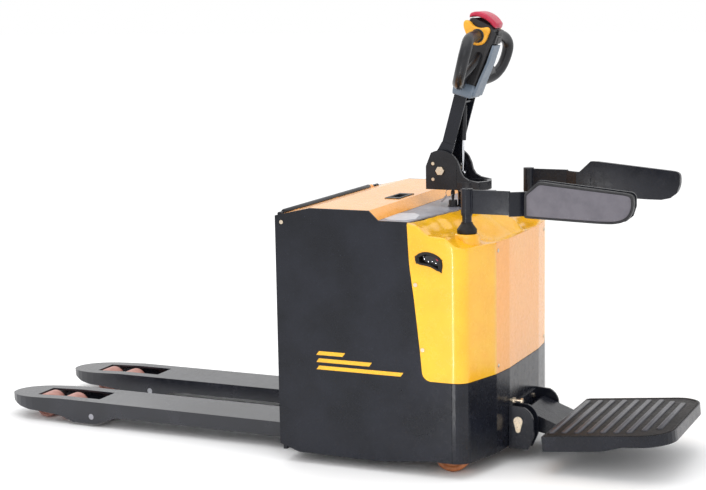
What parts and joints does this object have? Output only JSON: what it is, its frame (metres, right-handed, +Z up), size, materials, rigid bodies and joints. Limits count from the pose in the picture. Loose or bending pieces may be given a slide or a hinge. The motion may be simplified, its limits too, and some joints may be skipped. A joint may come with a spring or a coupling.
{
  "type": "electric pallet truck",
  "caption": "Ride-on electric pallet truck with lifting forks on tandem load rollers, a steered drive, tiller, swinging side arms and a folding platform.",
  "frame": {"origin": "on the floor, midway between the fork tips and the outer end of the platform, on the centre plane", "axes": "+X from the forks towards the platform and operator, +Y to the far side, +Z up"},
  "size_m": [2.2734, 0.775, 1.34],
  "materials": {
    "black_steel": "black powder coat, fine texture",
    "black_cast": "black paint over a casting",
    "yellow_hood": "moulded yellow, semi-gloss",
    "orange_sheet": "orange-yellow paint, semi-gloss",
    "deck": "grey satin paint",
    "battery": "grey battery tray and cells",
    "machine_grey": "grey machine enamel",
    "rubber": "matte black rubber",
    "handle_rubber": "soft-touch black",
    "black_plastic": "black moulded plastic",
    "zinc": "yellow zinc plate",
    "bare_steel": "machined steel",
    "rod_chrome": "polished rod",
    "sockets": "light grey plastic",
    "urethane": "brown-pink polyurethane tread",
    "caster_urethane": "orange-brown polyurethane tread",
    "slate": "blue-grey moulded plastic",
    "throttle": "yellow moulded plastic",
    "red_cap": "red soft plastic",
    "pad": "grey-mauve padded skin"
  },
  "bodies": {
    "body": {"chassis": "black_steel", "side_panel_near": "black_steel", "side_panel_far": "black_steel", "lower_skirt": "black_steel", "hood": "yellow_hood", "front_panel": "orange_sheet", "deck_plate": "deck", "cover_hinge": "black_steel", "battery": "battery", "power_pack": "machine_grey", "recess_trims": "rubber", "recess_sockets": "sockets", "arm_posts": "black_steel", "post_boots": "rubber", "key_switch": "black_plastic", "fixings": "zinc", "platform_ears": "black_steel", "platform_pin": "zinc"},
    "cover": {"battery_cover": "orange_sheet", "cover_pull": "black_plastic"},
    "ignition_key": {"key": "black_plastic"},
    "forks": {"fork_near": "black_steel", "fork_far": "black_steel", "fork_frame": "black_steel", "rocker_axles": "bare_steel"},
    "lever_shaft": {"torsion_shaft": "bare_steel"},
    "rods": {"push_rods": "bare_steel"},
    "rocker_arm_near": {"rocker_near": "black_cast"},
    "rocker_arm_far": {"rocker_far": "black_cast"},
    "bogie_body_near": {"bogie_near": "bare_steel"},
    "bogie_body_far": {"bogie_far": "bare_steel"},
    "wheel_near_front": {"load_wheel_near_front": "urethane"},
    "wheel_near_rear": {"load_wheel_near_rear": "urethane"},
    "wheel_far_front": {"load_wheel_far_front": "urethane"},
    "wheel_far_rear": {"load_wheel_far_rear": "urethane"},
    "drive": {"drive_unit": "machine_grey"},
    "drive_wheel_body": {"drive_wheel": "urethane"},
    "caster_near": {"caster_fork_near": "bare_steel"},
    "caster_far": {"caster_fork_far": "bare_steel"},
    "caster_roll_near": {"caster_wheel_near": "caster_urethane"},
    "caster_roll_far": {"caster_wheel_far": "caster_urethane"},
    "tiller_turret": {"tiller_base": "black_cast", "cheek_plates": "black_cast", "pivot_bolt": "zinc"},
    "tiller": {"tiller_arm": "black_steel", "gas_cylinder": "black_cast", "head_shell": "black_plastic", "head_spine": "slate", "handle_loops": "handle_rubber"},
    "spring_rod": {"gas_rod": "rod_chrome"},
    "butterfly": {"throttle": "throttle"},
    "belly_switch": {"belly_button": "red_cap"},
    "lift_switch": {"lift_rocker": "black_plastic"},
    "horn": {"horn_button": "black_plastic"},
    "side_arm_near": {"arm_near": "black_steel", "pad_near": "pad"},
    "side_arm_far": {"arm_far": "black_steel", "pad_far": "pad"},
    "platform": {"platform_frame": "black_steel", "platform_mat": "rubber"}
  },
  "joints": [
    {"name": "cover_open", "type": "hinge", "parent": "body", "child": "cover", "pos_m": [-0.01175, 0, 0.758], "axis": [0, -1, 0], "range_deg": [0, 80]},
    {"name": "key_turn", "type": "hinge", "parent": "body", "child": "ignition_key", "pos_m": [0.40625, -0.028, 0.76], "axis": [0, 0, -1], "range_deg": [0, 60]},
    {"name": "fork_lift", "type": "slide", "parent": "body", "child": "forks", "axis": [0, 0, 1], "range_m": [0, 0.12]},
    {"name": "lever_turn", "type": "hinge", "parent": "forks", "child": "lever_shaft", "pos_m": [0.02225, 0, 0.034], "axis": [0, -1, 0], "range_deg": [0, 44.46]},
    {"name": "rod_push", "type": "slide", "parent": "forks", "child": "rods", "axis": [-1, 0, 0], "range_m": [0, 0.01841]},
    {"name": "rocker_near_turn", "type": "hinge", "parent": "forks", "child": "rocker_arm_near", "pos_m": [-0.78375, -0.184, 0.034], "axis": [0, -1, 0], "range_deg": [0, 44.46]},
    {"name": "bogie_near_turn", "type": "hinge", "parent": "rocker_arm_near", "child": "bogie_body_near", "pos_m": [-0.95275, -0.184, 0.04], "axis": [0, 1, 0], "range_deg": [0, 44.46]},
    {"name": "wheel_near_front_spin", "type": "hinge", "parent": "bogie_body_near", "child": "wheel_near_front", "pos_m": [-0.99875, -0.184, 0.04], "axis": [0, 1, 0], "continuous": true},
    {"name": "wheel_near_rear_spin", "type": "hinge", "parent": "bogie_body_near", "child": "wheel_near_rear", "pos_m": [-0.90675, -0.184, 0.04], "axis": [0, 1, 0], "continuous": true},
    {"name": "rocker_far_turn", "type": "hinge", "parent": "forks", "child": "rocker_arm_far", "pos_m": [-0.78375, 0.184, 0.034], "axis": [0, -1, 0], "range_deg": [0, 44.46]},
    {"name": "bogie_far_turn", "type": "hinge", "parent": "rocker_arm_far", "child": "bogie_body_far", "pos_m": [-0.95275, 0.184, 0.04], "axis": [0, 1, 0], "range_deg": [0, 44.46]},
    {"name": "wheel_far_front_spin", "type": "hinge", "parent": "bogie_body_far", "child": "wheel_far_front", "pos_m": [-0.99875, 0.184, 0.04], "axis": [0, 1, 0], "continuous": true},
    {"name": "wheel_far_rear_spin", "type": "hinge", "parent": "bogie_body_far", "child": "wheel_far_rear", "pos_m": [-0.90675, 0.184, 0.04], "axis": [0, 1, 0], "continuous": true},
    {"name": "drive_steer", "type": "hinge", "parent": "body", "child": "drive", "pos_m": [0.45425, 0, 0.3], "axis": [0, 0, 1], "range_deg": [-90, 90]},
    {"name": "drive_spin", "type": "hinge", "parent": "drive", "child": "drive_wheel_body", "pos_m": [0.45425, 0, 0.115], "axis": [0, 1, 0], "continuous": true},
    {"name": "caster_near_swivel", "type": "hinge", "parent": "body", "child": "caster_near", "pos_m": [0.47625, -0.288, 0.2], "axis": [0, 0, 1], "continuous": true},
    {"name": "caster_near_spin", "type": "hinge", "parent": "caster_near", "child": "caster_roll_near", "pos_m": [0.50125, -0.288, 0.0575], "axis": [0, 1, 0], "continuous": true},
    {"name": "caster_far_swivel", "type": "hinge", "parent": "body", "child": "caster_far", "pos_m": [0.47625, 0.288, 0.2], "axis": [0, 0, 1], "continuous": true},
    {"name": "caster_far_spin", "type": "hinge", "parent": "caster_far", "child": "caster_roll_far", "pos_m": [0.50125, 0.288, 0.0575], "axis": [0, 1, 0], "continuous": true},
    {"name": "tiller_steer", "type": "hinge", "parent": "body", "child": "tiller_turret", "pos_m": [0.45425, 0, 0.8], "axis": [0, 0, 1], "range_deg": [-90, 90]},
    {"name": "tiller_tilt", "type": "hinge", "parent": "tiller_turret", "child": "tiller", "pos_m": [0.37825, 0, 0.864], "axis": [0, 1, 0], "range_deg": [-15, 50]},
    {"name": "gas_rod_slide", "type": "slide", "parent": "tiller", "child": "spring_rod", "axis": [-0.0384, 0, -0.9993], "range_m": [-0.041, 0.0125]},
    {"name": "throttle_turn", "type": "hinge", "parent": "tiller", "child": "butterfly", "pos_m": [0.49927, 0, 1.27044], "axis": [0, 1, 0], "range_deg": [-30, 30], "stiffness_Nm_per_rad": 0.4},
    {"name": "belly_press", "type": "slide", "parent": "tiller", "child": "belly_switch", "axis": [-0.2672, 0, -0.9636], "range_m": [0, 0.003], "stiffness_N_per_m": 900},
    {"name": "lift_rock", "type": "hinge", "parent": "tiller", "child": "lift_switch", "pos_m": [0.54728, 0, 1.27892], "axis": [0, 1, 0], "range_deg": [-4, 4], "stiffness_Nm_per_rad": 0.3},
    {"name": "horn_press", "type": "slide", "parent": "tiller", "child": "horn", "axis": [-0.9636, 0, 0.2672], "range_m": [0, 0.0025], "stiffness_N_per_m": 600},
    {"name": "side_arm_near_swing", "type": "hinge", "parent": "body", "child": "side_arm_near", "pos_m": [0.54625, -0.282, 0.8], "axis": [0, 0, -1], "range_deg": [0, 90]},
    {"name": "side_arm_far_swing", "type": "hinge", "parent": "body", "child": "side_arm_far", "pos_m": [0.54625, 0.282, 0.8], "axis": [0, 0, 1], "range_deg": [0, 90]},
    {"name": "platform_fold", "type": "hinge", "parent": "body", "child": "platform", "pos_m": [0.65625, 0, 0.129], "axis": [0, -1, 0], "range_deg": [0, 84]}
  ],
  "couplings": [
    {"joint": "lever_turn", "follows": "fork_lift", "rad_per_m": 6.4656},
    {"joint": "rod_push", "follows": "fork_lift", "ratio": 0.15174},
    {"joint": "rocker_near_turn", "follows": "fork_lift", "rad_per_m": 6.4656},
    {"joint": "rocker_far_turn", "follows": "fork_lift", "rad_per_m": 6.4656},
    {"joint": "bogie_near_turn", "follows": "fork_lift", "rad_per_m": 6.4656},
    {"joint": "bogie_far_turn", "follows": "fork_lift", "rad_per_m": 6.4656},
    {"joint": "tiller_steer", "follows": "drive_steer", "ratio": 1},
    {"joint": "gas_rod_slide", "follows": "tiller_tilt", "m_per_rad": -0.0464}
  ]
}
